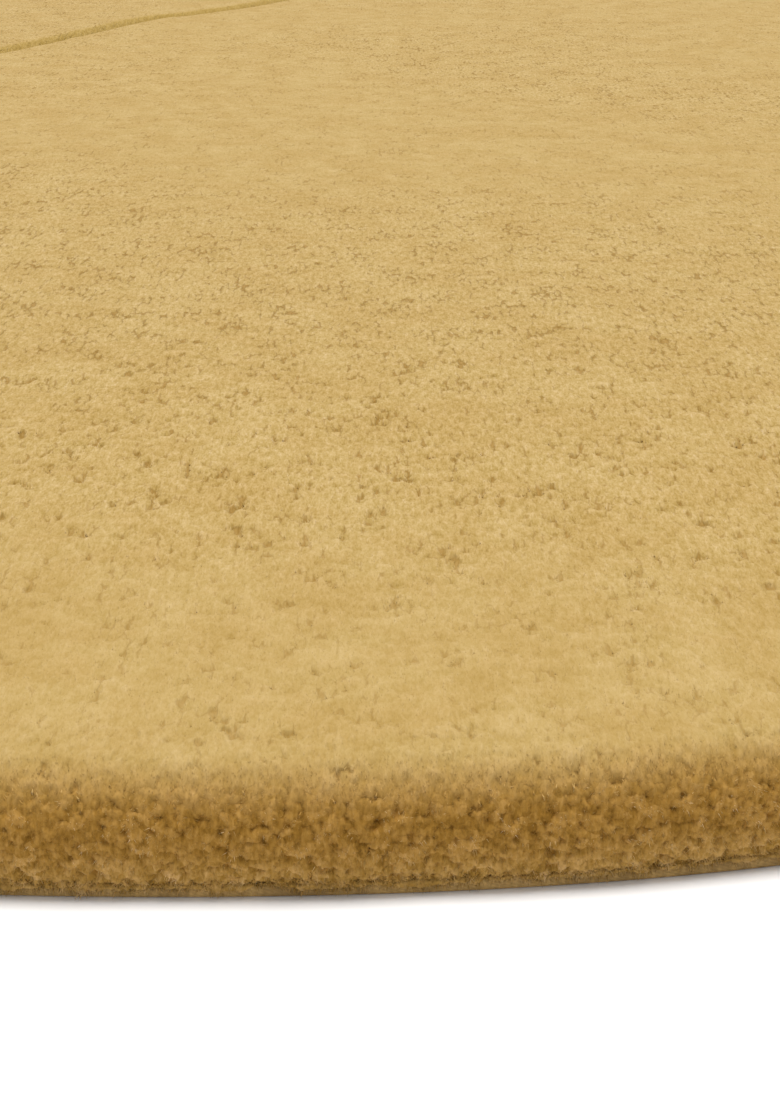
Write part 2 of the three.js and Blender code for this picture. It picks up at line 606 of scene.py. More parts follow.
@dataclass(frozen=True)
class CanvasFinish:
    """Undyed plain-weave canvas, thread over thread, with painted shade where the threads dip and
    loose patches of painted contact shadow. Sizes are in millimetres.
    """

    thread: float = 0.55
    light: tuple = (0.56, 0.36, 0.125, 1.0)
    # Darker for thin thread, and as painted shade in the dips between threads
    dark: tuple = (0.20, 0.122, 0.044, 1.0)
    roughness: float = 0.9
    specular: float = 0.2
    bump: float = 0.5
    weave_height: float = 0.3
    over_share: float = 0.35
    slub_share: float = 0.7
    slub_waves: Waves = Waves(1.4, 3.0, 0.6)
    # Loose patches of painted contact shadow, and how dark they go
    blotch_waves: Waves = Waves(0.13, 4.0, 0.7)
    blotch_from: float = 0.40
    blotch_to: float = 0.60
    contact_shadow_dark: float = 0.22

    def material(self, name: str) -> bpy.types.Material:
        """Makes the canvas material.

        Args:
            name: the material's name.

        Returns:
            The material.
        """
        material, bench = NodeBench.for_material(name)
        shader = bench.shader({"Roughness": self.roughness, "Specular IOR Level": self.specular})
        spot = bench.put("ShaderNodeTexCoord").outputs["Object"]
        threads = bench.move(spot, (math.pi / self.thread / MM,) * 3)
        x, y, z = bench.axes(threads)
        warp = bench.math("SINE", bench.math("ADD", x, z))
        weft = bench.math("SINE", bench.math("SUBTRACT", y, z))
        over = bench.math("MULTIPLY_ADD", bench.math("MULTIPLY", warp, weft), 0.5, 0.5)
        place = bench.in_mm(spot)
        slub = bench.noise(place, self.slub_waves, "3D")
        weave = bench.math("MULTIPLY_ADD", slub, self.slub_share,
                           bench.math("MULTIPLY", over, self.over_share), clamp=True)
        # Painted contact shadow, in loose patches
        blotch = bench.spread(bench.noise(place, self.blotch_waves, "3D"), self.blotch_from,
                              self.blotch_to, self.contact_shadow_dark, 1.0)
        # The colour follows the weave: paler on thick thread, darker in the dips as painted shade
        shade = bench.math("MULTIPLY", weave, blotch)
        bench.feed(shader.inputs["Base Color"], bench.tint(shade, self.dark, self.light))
        bench.roughen(shader, bench.math("MULTIPLY", weave, self.weave_height), self.bump)
        return material


class MeshBench:
    """Makes mesh objects from arrays."""

    @staticmethod
    def build(name: str, points: Array, faces: Array, marks: dict[str, Array]) -> Thing:
        """Makes an object from triangles.

        Args:
            name: the object's name.
            points: one row for each point.
            faces: three point numbers in each row.
            marks: named values for each point, single or in threes.

        Returns:
            The new object, linked to the scene.
        """
        mesh = bpy.data.meshes.new(name)
        count = len(faces)
        mesh.vertices.add(len(points))
        mesh.vertices.foreach_set("co", np.ascontiguousarray(points, dtype=np.float32).ravel())
        mesh.loops.add(3 * count)
        mesh.loops.foreach_set("vertex_index", np.ascontiguousarray(faces, dtype=np.int32).ravel())
        mesh.polygons.add(count)
        mesh.polygons.foreach_set("loop_start", np.arange(0, 3 * count, 3, dtype=np.int32))
        mesh.polygons.foreach_set("use_smooth", np.ones(count, dtype=bool))
        mesh.update(calc_edges=True)
        for mark, values in marks.items():
            many = values.ndim > 1
            layer = mesh.attributes.new(mark, "FLOAT_VECTOR" if many else "FLOAT", "POINT")
            flat = np.ascontiguousarray(values, dtype=np.float32).ravel()
            layer.data.foreach_set("vector" if many else "value", flat)
        mesh.validate()
        return placed(name, mesh)

    @staticmethod
    def read(mesh: bpy.types.Mesh, mark: str) -> Array:
        """Reads the named values of a mesh's points, single or in threes.

        Args:
            mesh: the mesh.
            mark: the values' name.

        Returns:
            One row for each point.
        """
        layer = mesh.attributes[mark]
        many = layer.data_type == "FLOAT_VECTOR"
        values = np.empty(len(mesh.vertices) * (3 if many else 1), dtype=np.float32)
        layer.data.foreach_get("vector" if many else "value", values)
        return values.reshape(-1, 3) if many else values


class StrandBench:
    """Makes many short pointed strands as one joined mesh, each a slim closed spike with a
    three-sided root."""

    SIDES = 3
    # The triangles of one strand, whose last point is its tip, and the reach of its points
    FACES = ((2, 1, 0), (0, 1, 3), (1, 2, 3), (2, 0, 3))
    REACH = (0.0, 0.0, 0.0, 1.0)
    # Any way off a strand's own, to lay its root's corners out from
    SLANT = (0.31, 0.52, 0.80)

    @classmethod
    def build(cls, name: str, roots: Array, tips: Array, radii: Array,
              marks: dict[str, Array]) -> Thing:
        """Makes the strands.

        Args:
            name: the joined object's name.
            roots: the middle of each strand's root.
            tips: the point that each strand ends in.
            radii: the radius of each root.
            marks: named values for each strand, single or in threes.

        Returns:
            The new object, linked to the scene. Each point also has its reach, from 0 at the
            root to 1 at the tip.
        """
        along = unit(tips - roots)
        aside = unit(np.cross(along, np.array(cls.SLANT)))
        across = np.cross(along, aside)
        turn = np.arange(cls.SIDES) * 2 * math.pi / cls.SIDES
        spoke = (np.cos(turn)[None, :, None] * aside[:, None, :]
                 + np.sin(turn)[None, :, None] * across[:, None, :])
        rings = roots[:, None, :] + radii[:, None, None] * spoke
        points = np.concatenate([rings, tips[:, None, :]], axis=1)
        count, each = points.shape[:2]
        spread = {mark: np.repeat(values, each, axis=0) for mark, values in marks.items()}
        spread["reach"] = np.tile(cls.REACH, count)
        faces = np.arange(count)[:, None, None] * each + np.array(cls.FACES)[None]
        return MeshBench.build(name, points.reshape(-1, 3), faces.reshape(-1, 3), spread)


@dataclass(frozen=True)
class Swell:
    """One soft swell of the outline: waves round the rug, height and turn in degrees."""

    waves: int
    height: float
    turn: float


@dataclass
class RugOutline:
    """The rug's rounded pebble outline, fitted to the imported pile's box."""

    width: float
    length: float
    mean_radius: float = 475 * MM
    swells: tuple = (
        Swell(2, -25 * MM, 0),
        Swell(3, 8 * MM, 112),
        Swell(4, 2.4 * MM, 20),
        Swell(5, 1.6 * MM, 120),
        Swell(11, 0.6 * MM, 260),
        Swell(14, 0.6 * MM, 0),
    )
    steps: int = 4096
    points: Array = field(init=False)
    inward: Array = field(init=False)
    arc: Array = field(init=False)

    def __post_init__(self) -> None:
        """Works out the ring's points, inward normals and distances along it."""
        angle = np.linspace(0, 2 * math.pi, self.steps, endpoint=False)
        radius = np.full(self.steps, self.mean_radius)
        for swell in self.swells:
            radius += swell.height * np.cos(swell.waves * angle - math.radians(swell.turn))
        ring = np.stack([radius * np.cos(angle), radius * np.sin(angle)], axis=1)
        low, high = ring.min(axis=0), ring.max(axis=0)
        size = np.array([self.width, self.length])
        self.points = (ring - (low + high) / 2) * size / (high - low)
        along = unit(np.roll(self.points, -1, axis=0) - np.roll(self.points, 1, axis=0))
        self.inward = np.stack([-along[:, 1], along[:, 0]], axis=1)
        step = np.linalg.norm(np.roll(self.points, -1, axis=0) - self.points, axis=1)
        self.arc = np.concatenate([[0.0], np.cumsum(step)])

    @property
    def girth(self) -> float:
        """The way round the outline."""
        return float(self.arc[-1])

    @property
    def area(self) -> float:
        """The area that the outline holds."""
        x, y = self.points.T
        return float(abs(np.sum(x * np.roll(y, -1) - np.roll(x, -1) * y)) / 2)

    def at(self, arc: Array, inset: Array) -> tuple[Array, Array]:
        """Places drawn in from the outline.

        Args:
            arc: distances along the outline.
            inset: how far in from it each place lies.

        Returns:
            The places and the inward normals there.
        """
        arc = np.mod(arc, self.girth)
        ends = [np.append(self.points[:, i], self.points[0, i]) for i in (0, 1)]
        turns = [np.append(self.inward[:, i], self.inward[0, i]) for i in (0, 1)]
        place = np.stack([np.interp(arc, self.arc, end) for end in ends], axis=1)
        inward = np.stack([np.interp(arc, self.arc, turn) for turn in turns], axis=1)
        return place + inset[:, None] * inward, inward

    def inset_of(self, places: Array) -> Array:
        """How far inside the outline places lie, true near the outline.

        Args:
            places: one place in each row.

        Returns:
            The distances, below 0 outside.
        """
        ring_angle = np.unwrap(np.arctan2(self.points[:, 1], self.points[:, 0]))
        ring_radius = np.linalg.norm(self.points, axis=1)
        slant = np.abs((self.points * self.inward).sum(axis=1)) / ring_radius
        angle = np.arctan2(places[:, 1], places[:, 0])
        radius = np.linalg.norm(places, axis=1)
        edge = np.interp(angle, ring_angle, ring_radius, period=2 * math.pi)
        tilt = np.interp(angle, ring_angle, slant, period=2 * math.pi)
        return (edge - radius) * tilt

    def nearest_arc(self, x: float) -> float:
        """The distance along the outline at its near side, at a given place across.

        Args:
            x: the place across the rug.

        Returns:
            The distance along the outline.
        """
        near = self.points[:, 1] < 0
        gap = np.where(near, np.abs(self.points[:, 0] - x), np.inf)
        return float(self.arc[int(gap.argmin())])


@dataclass
class PileSection:
    """The pile's side from its flat top over the rounded shoulder and down to its hem, where
    the outermost tufts hang over the backing's edge."""

    top: float
    foot: float
    hem: float = 0.6 * MM
    foot_draw_in: float = 1.2 * MM
    girth_height: float = 7 * MM
    shoulder_reach: float = 8.5 * MM
    facing_step: float = 0.05 * MM
    steps: int = 400
    way: Array = field(init=False)
    inset: Array = field(init=False)
    height: Array = field(init=False)

    def __post_init__(self) -> None:
        """Works out the inset and the height along the way down."""
        turn = np.linspace(0, math.pi / 2, self.steps)
        rise = self.top - self.girth_height
        shoulder = np.stack([self.shoulder_reach * (1 - np.sin(turn)),
                             self.girth_height + rise * np.cos(turn)], axis=1)
        share = np.linspace(0, 1, self.steps)[1:]
        drop = self.girth_height - self.hem
        wall = np.stack([self.foot_draw_in * (1 - np.cos(share * math.pi / 2)),
                         self.girth_height - drop * share], axis=1)
        trace = np.concatenate([shoulder, wall])
        self.inset, self.height = trace.T
        self.way = np.concatenate([[0], np.cumsum(np.linalg.norm(np.diff(trace, axis=0), axis=1))])

    @property
    def run(self) -> float:
        """The whole way from the flat top to the hem."""
        return float(self.way[-1])

    def at(self, way: Array) -> tuple[Array, Array]:
        """The insets and the heights, given ways down from the flat top."""
        return np.interp(way, self.way, self.inset), np.interp(way, self.way, self.height)

    def way_at_inset(self, inset: Array) -> Array:
        """The ways down to places on the shoulder, given how far in they lie."""
        shoulder = slice(self.steps - 1, None, -1)
        return np.interp(inset, self.inset[shoulder], self.way[shoulder])

    def facing(self, way: Array) -> tuple[Array, Array]:
        """Which way the surface faces a given way down from the flat top.

        Args:
            way: distances down the side.

        Returns:
            How far it faces outward and how far up.
        """
        inset_above, height_above = self.at(way - self.facing_step)
        inset_below, height_below = self.at(way + self.facing_step)
        up, outward = inset_above - inset_below, height_above - height_below
        size = np.maximum(np.hypot(up, outward), TINY)
        return outward / size, up / size


@dataclass
class CarvedLine:
    """The line carved into the pile by hand: its route over the top and its valley."""

    half_width: float = 8.0 * MM
    depth: float = 6.2 * MM
    floor_half_width: float = 0.8 * MM
    spacing: float = 1.0 * MM
    route: tuple = (
        (-511, -287), (-443, -236), (-387, -196), (-336, -148), (-284, -98), (-238, -44),
        (-194, 9), (-159, 62), (-130, 116), (-111, 157), (-94, 196), (-84, 218), (-74, 234),
        (-62, 243), (-51, 257), (-39, 271), (-21, 301), (0, 346), (15, 393), (33, 441),
        (48, 490), (66, 545),
    )
    tree: KDTree = field(init=False)

    def __post_init__(self) -> None:
        """Works out a smooth path through the route's points, to measure distances from."""
        knots = np.array(self.route) * MM
        gaps = np.sqrt(np.linalg.norm(np.diff(knots, axis=0), axis=1))
        times = np.concatenate([[0], np.cumsum(gaps)])
        pieces = []
        for i in range(len(knots) - 1):
            count = max(2, round(float(gaps[i] ** 2) / self.spacing))
            pieces.append(self.bend(knots, times, i, np.linspace(times[i], times[i + 1], count)))
        path = np.concatenate(pieces)
        self.tree = KDTree(len(path))
        for i, (x, y) in enumerate(path):
            self.tree.insert((x, y, 0.0), i)
        self.tree.balance()

    @staticmethod
    def bend(knots: Array, times: Array, first: int, when: Array) -> Array:
        """One stretch of the smooth path, between two neighbouring knots.

        Args:
            knots: the route's points.
            times: how far along the route each knot lies, by the root of the gaps.
            first: which knot the stretch starts from.
            when: where on the stretch places are wanted.

        Returns:
            The places.
        """
        last = len(knots) - 1
        slopes = []
        for i in (first, first + 1):
            before, after = max(i - 1, 0), min(i + 1, last)
            slopes.append((knots[after] - knots[before]) / (times[after] - times[before]))
        length = times[first + 1] - times[first]
        share = ((when - times[first]) / length)[:, None]
        ease = share * share * (3 - 2 * share)
        start = knots[first] * (1 - ease) + knots[first + 1] * ease
        lift = share * (1 - share) * length
        return start + lift * ((1 - share) * slopes[0] - share * slopes[1])

    def distance(self, places: Array) -> Array:
        """How far each place on the top lies from the line's path."""
        find = self.tree.find
        return np.array([find((x, y, 0.0))[2] for x, y in places])

    def valley(self, distance: Array) -> Array:
        """How deep the valley is at distances from its path, 0 on its lips and past them."""
        share = (self.half_width - distance) / (self.half_width - self.floor_half_width)
        return self.depth * np.clip(share, 0, 1) ** 2


@dataclass
class LookedAt:
    """The camera's place, as the photograph was taken, and how finely each part is worked. The
    last two fields go together: how far back, and the mesh's step there, in millimetres."""

    photo_width: int = 780
    photo_height: int = 1108
    focal_pixels: float = 1770.0
    long_side: float = 36.0
    pitch_down: float = 23.9
    height: float = 129.5 * MM
    stand_off: float = 184.7 * MM
    across: float = 41 * MM
    near_edge: float = -499.2 * MM
    clip_from: float = 10 * MM
    half_view: float = 56 * MM
    view_spread: float = 0.2
    finest: float = 0.45 * MM
    coarsest: float = 7.2 * MM
    relief_full_to: float = 110 * MM
    relief_none_from: float = 200 * MM
    relief_side_fade: float = 28 * MM
    side_growth: float = 0.45
    same_step: float = 1.4
    depths: tuple = (0, 14, 16, 200, 205, 400, 405, 650, 700, 1000)
    steps: tuple = (0.45, 0.45, 0.9, 0.9, 1.8, 1.8, 3.6, 3.6, 7.2, 7.2)

    def relief(self, places: Array) -> Array:
        """How much of the tufts' fine relief the mesh carries at places.

        Args:
            places: one place in each row.

        Returns:
            Shares from 0 to 1.
        """
        depth = places[:, 1] - self.near_edge
        fade = self.relief_none_from - self.relief_full_to
        aside = np.abs(places[:, 0] - self.across) - self.half_view - self.view_spread * depth
        share = np.clip((self.relief_none_from - depth) / fade, 0, 1)
        return share * np.clip(1 - aside / self.relief_side_fade, 0, 1)

    def zone(self, step: float) -> tuple[Array, Array]:
        """The box that holds every place on the top with as small a step.

        Args:
            step: the step.

        Returns:
            Its lower and upper corners.
        """
        finer = [depth for depth, there in zip(self.depths, self.steps)
                 if there * MM < self.same_step * step]
        depth = max(finer) * MM + self.coarsest
        half = self.half_view + self.view_spread * depth + self.coarsest
        return (np.array([self.across - half, self.near_edge]),
                np.array([self.across + half, self.near_edge + depth]))

    def cell(self, places: Array) -> Array:
        """How large a step the mesh takes at each place on the flattened pile.

        Args:
            places: one place in each row.

        Returns:
            The step sizes.
        """
        depth = np.maximum(places[:, 1] - self.near_edge, 0)
        half_view = self.half_view + self.view_spread * depth
        aside = np.maximum(np.abs(places[:, 0] - self.across) - half_view, 0)
        seen = np.interp(depth / MM, self.depths, self.steps) * MM
        return np.clip(seen + self.side_growth * aside, self.finest, self.coarsest)


@dataclass
class PileForm:
    """The pile's smooth form, before its tufts, and the plan of points on it."""

    outline: RugOutline
    section: PileSection
    line: CarvedLine
    looked_at: LookedAt
    jitter: float = 0.24
    shoulder_gap: float = 0.6
    line_step: float = 1.6 * MM
    line_growth: float = 0.35
    band_columns_coarsest: int = 16
    band_rows_coarsest: int = 8
    flare_to: float = 11.0 * MM
    hem_pitch: float = 1.8 * MM
    hem_rise: float = 1.0 * MM
    hem_zone: float = 2.0 * MM
    hem: Array = field(init=False)

    def __post_init__(self) -> None:
        """Draws how far the hem rises at each step round the rug."""
        count = round(self.outline.girth / self.hem_pitch)
        self.hem = np.random.default_rng(SEED).random(count) * self.hem_rise

    def flare(self, way: Array) -> Array:
        """How far places belong to the side, from 0 on the top to 1 down the wall."""
        return np.clip(way / self.flare_to, 0, 1)

    def step_at(self, places: Array) -> Array:
        """The mesh's step at places on the top, finer along the carved line."""
        away = np.maximum(self.line.distance(places) - self.line.half_width, 0)
        return np.minimum(self.looked_at.cell(places), self.line_step + self.line_growth * away)

    def top_places(self, rng: np.random.Generator) -> Array:
        """Places on the flat top, on lattices that double in step as the detail coarsens.

        Args:
            rng: the source of the lattices' jitter.

        Returns:
            One place in each row.
        """
        finest = self.looked_at.finest
        levels = 1 + round(math.log2(self.looked_at.coarsest / finest))
        half = np.array([self.outline.width, self.outline.length]) / 2
        found = []
        for level in range(levels):
            step = finest * 2 ** level
            low, high = -half, half
            if step < self.line_step:
                low, high = self.looked_at.zone(step)
            grid = self.lattice(low, high, step) * step
            wanted = self.step_at(grid)
            mine = np.clip(np.round(np.log2(wanted / finest)), 0, levels - 1) == level
            clear = self.section.shoulder_reach + self.shoulder_gap * wanted
            mine &= self.outline.inset_of(grid) > clear
            grid = grid[mine]
            found.append(grid + rng.uniform(-self.jitter, self.jitter, grid.shape) * step)
        return np.concatenate(found)

    @staticmethod
    def lattice(low: Array, high: Array, step: float) -> Array:
        """A square lattice over a box from low to high, in whole steps."""
        across, along = (np.arange(round(a / step), round(b / step) + 1)
                         for a, b in zip(low, high))
        return np.stack(np.meshgrid(across, along, indexing="ij"), axis=-1).reshape(-1, 2)

    def band(self) -> tuple[Array, Array]:
        """Places on the shoulder and the wall.

        Returns:
            The distances along the outline, and the ways down from the flat top. The last
            row, at the hem, is in order round the rug.
        """
        finest, coarsest = self.looked_at.finest, self.band_columns_coarsest
        columns = coarsest * round(self.outline.girth / finest / coarsest)
        rows = self.band_rows_coarsest * round(self.section.run / finest / self.band_rows_coarsest)
        arcs = np.arange(columns) * self.outline.girth / columns
        places, _ = self.outline.at(arcs, np.zeros(columns))
        level = np.round(np.log2(self.looked_at.cell(places) / finest))
        column_skip = np.minimum(2 ** level, coarsest).astype(int)
        row_skip = np.minimum(2 ** level, self.band_rows_coarsest).astype(int)
        kept = np.arange(columns) % column_skip == 0
        arcs, row_skip = arcs[kept], row_skip[kept]
        found = []
        for row in range(rows + 1):
            chosen = arcs[row % row_skip == 0]
            found.append(np.stack([chosen, np.full(len(chosen), row / rows)], axis=1))
        arc, share = np.concatenate(found).T
        return arc, share * self.section.run

    def carved_depth(self, points: Array) -> Array:
        """How far the carved line sinks points, which is nothing well down the side.

        Args:
            points: one point in each row.

        Returns:
            The depths.
        """
        dip = self.line.valley(self.line.distance(points[:, :2]))
        room = points[:, 2] - self.section.top + self.line.depth
        return np.minimum(dip, np.maximum(room, 0))

    def on_side(self, arc: Array, way: Array) -> tuple[Array, Array]:
        """Points on the shoulder and the wall.

        Args:
            arc: distances along the outline.
            way: ways down from the flat top.

        Returns:
            The points, and their places on the flattened pile.
        """
        inset, height = self.section.at(way)
        place, _ = self.outline.at(arc, inset)
        lay, _ = self.outline.at(arc, self.section.shoulder_reach - way)
        girth = self.outline.girth
        knots = np.linspace(0, girth, len(self.hem), endpoint=False)
        rise = np.interp(arc, knots, self.hem, period=girth)
        rise *= np.clip(1 - (height - self.section.hem) / self.hem_zone, 0, 1)
        return np.column_stack([place, height + rise]), lay


@dataclass
class TuftRelief:
    """Raises and sinks surfaces by the tuft pattern, and reads the pattern at loose places."""

    pattern: TuftPattern
    core_depth: float = 0.5
    group: bpy.types.NodeTree = field(init=False)

    def __post_init__(self) -> None:
        """Makes the shaping tree."""
        self.group = bpy.data.node_groups.new("raise_tufts", "GeometryNodeTree")
        for way in ("INPUT", "OUTPUT"):
            self.group.interface.new_socket("Geometry", in_out=way,
                                            socket_type="NodeSocketGeometry")
        bench = NodeBench(self.group)
        start, end = bench.put("NodeGroupInput"), bench.put("NodeGroupOutput")
        lay = self.named(bench, "lay", "FLOAT_VECTOR")
        flare, relief, loose = (
            self.named(bench, name, "FLOAT") for name in ("flare", "relief", "loose"))
        marks = self.pattern.lay_out(bench, lay, flare)
        lift = bench.math("MULTIPLY", marks.broad, loose)
        lift = bench.math("MULTIPLY_ADD", marks.fine, relief, lift)
        lift = bench.math("MULTIPLY_ADD", flare, -self.core_depth, lift)
        lift = bench.math("MULTIPLY", lift, MM)
        offset = bench.put("ShaderNodeVectorMath", operation="SCALE")
        bench.feed(offset.inputs[0], bench.put("GeometryNodeInputNormal").outputs[0])
        bench.feed(offset.inputs["Scale"], lift)
        geometry = start.outputs[0]
        for name, value in (("pit", marks.pit), ("fine", marks.fine), ("broad", marks.broad)):
            keep = bench.put("GeometryNodeStoreNamedAttribute", data_type="FLOAT", domain="POINT")
            keep.inputs["Name"].default_value = name
            bench.feed(keep.inputs["Value"], value)
            bench.feed(keep.inputs["Geometry"], geometry)
            geometry = keep.outputs[0]
        shift = bench.put("GeometryNodeSetPosition")
        bench.feed(shift.inputs["Geometry"], geometry)
        bench.feed(shift.inputs["Offset"], offset.outputs[0])
        bench.feed(end.inputs[0], shift.outputs[0])

    @staticmethod
    def named(bench: NodeBench, name: str, kind: str) -> Socket:
        """Reads named values in a shaping tree.

        Args:
            bench: where the node goes.
            name: the values' name.
            kind: FLOAT or FLOAT_VECTOR.

        Returns:
            The values' socket.
        """
        node = bench.put("GeometryNodeInputNamedAttribute", data_type=kind)
        node.inputs["Name"].default_value = name
        return node.outputs[0]

    def shaped(self, thing: Thing) -> bpy.types.Mesh:
        """The object's mesh after the relief.

        Args:
            thing: the object, whose points have their places and shares.

        Returns:
            A new mesh.
        """
        modifier = thing.modifiers.new("raise_tufts", "NODES")
        modifier.node_group = self.group
        graph = bpy.context.evaluated_depsgraph_get()
        mesh = bpy.data.meshes.new_from_object(thing.evaluated_get(graph))
        thing.modifiers.clear()
        return mesh

    def read(self, lay: Array, flare: Array) -> dict[str, Array]:
        """Reads the pattern at loose places.

        Args:
            lay: places on the flattened pile.
            flare: how far each belongs to the side.

        Returns:
            The pits, and the fine and broad heights in millimetres, by name.
        """
        spot = at_height(lay)
        none = np.empty((0, 3), dtype=np.int32)
        thing = MeshBench.build("probe", spot, none, {"lay": spot, "flare": flare})
        mesh = self.shaped(thing)
        found = {name: MeshBench.read(mesh, name) for name in ("pit", "fine", "broad")}
        bpy.data.objects.remove(thing)
        bpy.data.meshes.remove(mesh)
        return found


@dataclass
class WoolPile:
    """The pile as one closed sheet, with its tufts raised and its pits sunk in the mesh."""

    form: PileForm
    finish: WoolFinish
    relief: TuftRelief
    name: str = "tufted_pile"
    no_swell_step: float = 8.0 * MM
    tuck: float = 0.2 * MM
    lowest: float = 0.15 * MM

    def build(self) -> Thing:
        """Builds and dresses the sheet.

        Returns:
            The sheet's object.
        """
        rng = np.random.default_rng(SEED)
        form = self.form
        top = form.top_places(rng)
        arc, way = form.band()
        side, side_lay = form.on_side(arc, way)
        points = np.concatenate([at_height(top, form.section.top), side])
        carved = form.carved_depth(points)
        points[:, 2] -= carved
        lay = np.concatenate([top, side_lay])
        faces = self.triangles(lay)
        count = int(np.isclose(way, form.section.run).sum())
        hem = len(points) - count + np.arange(count)
        under = np.concatenate([self.underside(arc[-count:]), [[0, 0, form.section.foot]]])
        faces = np.concatenate([faces, self.under_faces(hem)])
        points = np.concatenate([points, under])
        lay = np.concatenate([lay, lay[hem], [[0, 0]]])
        marks = self.marks(lay, way, len(top))
        marks["carved"] = np.append(carved / form.line.depth, np.zeros(count + 1))
        sheet = MeshBench.build(self.name, points, faces, marks)
        sheet.data = self.relief.shaped(sheet)
        self.rest(sheet.data)
        sheet.data.materials.append(self.finish.material("ochre_wool_pile", WoolPart.SHEET))
        return sheet

    def rest(self, mesh: bpy.types.Mesh) -> None:
        """Holds the tufts that hang at the hem just off the floor.

        Args:
            mesh: the sheet's mesh.
        """
        flat = np.empty(3 * len(mesh.vertices), dtype=np.float32)
        mesh.vertices.foreach_get("co", flat)
        flat[2::3] = np.maximum(flat[2::3], self.lowest)
        mesh.vertices.foreach_set("co", flat)
        mesh.update()

    def underside(self, arc: Array) -> Array:
        """The ring where the hem, tucked under, meets the pile's flat underside.

        Args:
            arc: distances along the outline.

        Returns:
            One point in each row.
        """
        section = self.form.section
        place, _ = self.form.outline.at(arc, np.full(len(arc), section.foot_draw_in + self.tuck))
        return at_height(place, section.foot)

    @staticmethod
    def under_faces(hem: Array) -> Array:
        """Joins the hem to the ring above it, and that ring to the underside's middle.

        Args:
            hem: the numbers of the points at the hem, the last of all points so far.

        Returns:
            Three point numbers in each row, facing in and down.
        """
        ring = hem + len(hem)
        middle = np.full(len(hem), ring[-1] + 1)
        hem_after, ring_after = np.roll(hem, -1), np.roll(ring, -1)
        return np.concatenate([
            np.column_stack([hem_after, hem, ring]),
            np.column_stack([hem_after, ring, ring_after]),
            np.column_stack([ring_after, ring, middle]),
        ])

    @staticmethod
    def triangles(lay: Array) -> Array:
        """Joins places on the flattened pile into triangles that face up.

        Args:
            lay: one place in each row.

        Returns:
            Three point numbers in each row.
        """
        scaled = lay / MM
        out = delaunay_2d_cdt([Vector(place) for place in scaled], [], [], 0, MERGED)
        sources = np.array([source[0] for source in out[3]])
        faces = sources[np.array(out[2])]
        a, b, c = (scaled[faces[:, i]] for i in range(3))
        turn = (b - a)[:, 0] * (c - a)[:, 1] - (b - a)[:, 1] * (c - a)[:, 0]
        faces[turn < 0] = faces[turn < 0][:, ::-1]
        return faces

    def marks(self, lay: Array, way: Array, top_count: int) -> dict[str, Array]:
        """Named values for each point of the sheet.

        Args:
            lay: places on the flattened pile, those of the underside last.
            way: ways down from the flat top, for the points of the side.
            top_count: how many points lie on the top.

        Returns:
            The values by name.
        """
        step = self.form.looked_at.cell(lay)
        relief = self.form.looked_at.relief(lay)
        loose = np.clip(self.no_swell_step / step - 1, 0, 1)
        seen = top_count + len(way)
        for values in (relief, loose):
            values[seen:] = 0
        flare = np.zeros(len(lay))
        flare[top_count:seen] = self.form.flare(way)
        return {
            "lay": at_height(lay),
            "relief": relief,
            "loose": loose,
            "flare": flare,
        }


@dataclass
class FibreSeats:
    """Where fibres stand: points on the smooth pile, their places on the flattened pile, which
    way the pile faces there and how far it belongs to the side."""

    point: Array
    lay: Array
    facing: Array
    flare: Array

    def only(self, kept: Array) -> "FibreSeats":
        """The seats that kept marks."""
        return FibreSeats(self.point[kept], self.lay[kept], self.facing[kept], self.flare[kept])


@dataclass
class PileFibres:
    """Ends of wool fibre that stand a hair out of the pile, joined in one piece."""

    form: PileForm
    finish: WoolFinish
    relief: TuftRelief
    name: str
    seed: int
    pitch: float
    radius: float
    stand: float
    root_depth: float = 0.8 * MM
    lean: float = 0.25
    thickness_spread: float = 0.25
    tip_room: float = 0.75
    sag: float = 0.0
    pit_drop: float = 0.5
    lowest: float = 0.2 * MM
    foot_zone: float = 2.5 * MM
    foot_sag: float = 0.0
    foot_stand: float = 0.0
    shortest: float = 0.0

    def seats(self, rng: np.random.Generator) -> FibreSeats:
        """Where the fibres stand.

        Args:
            rng: the source of the jitter.

        Returns:
            The seats.
        """
        raise NotImplementedError

    def build(self) -> Thing:
        """Builds and dresses the fibres.

        Returns:
            Their joined object.
        """
        rng = np.random.default_rng(self.seed)
        seats = self.seats(rng)
        found = self.relief.read(seats.lay, seats.flare)
        kept = found["pit"] < self.pit_drop
        seats = seats.only(kept)
        count = len(seats.lay)
        lift = found["fine"][kept] * self.form.looked_at.relief(seats.lay) + found["broad"][kept]
        lift = (lift - seats.flare * self.relief.core_depth) * MM
        root = seats.point + seats.facing * (lift - self.root_depth)[:, None]
        carved = self.form.carved_depth(seats.point)
        root[:, 2] -= carved
        low = np.clip(1 - (seats.point[:, 2] - self.form.section.hem) / self.foot_zone, 0, 1)
        axis = seats.facing + rng.normal(0, self.lean, (count, 3))
        axis[:, 2] -= (self.sag + self.foot_sag * low) * (1 - seats.facing[:, 2])
        axis = unit(axis)
        grown = rng.uniform(self.shortest, 1.0, count)
        long = self.root_depth + (self.stand + self.foot_stand * low) * grown
        tip = root + axis * long[:, None]
        spread = self.thickness_spread
        radii = self.radius * rng.uniform(1 - spread, 1 + spread, count)
        root[:, 2] = np.maximum(root[:, 2], radii + self.lowest)
        tip[:, 2] = np.maximum(tip[:, 2], radii * self.tip_room + self.lowest)
        marks = {
            "lay": at_height(seats.lay),
            "flare": seats.flare,
            "carved": carved / self.form.line.depth,
            "shade": rng.random(count),
        }
        thing = StrandBench.build(self.name, root, tip, radii, marks)
        wool = self.finish.material("ochre_wool_" + self.name, WoolPart.FIBRE)
        thing.data.materials.append(wool)
        return thing


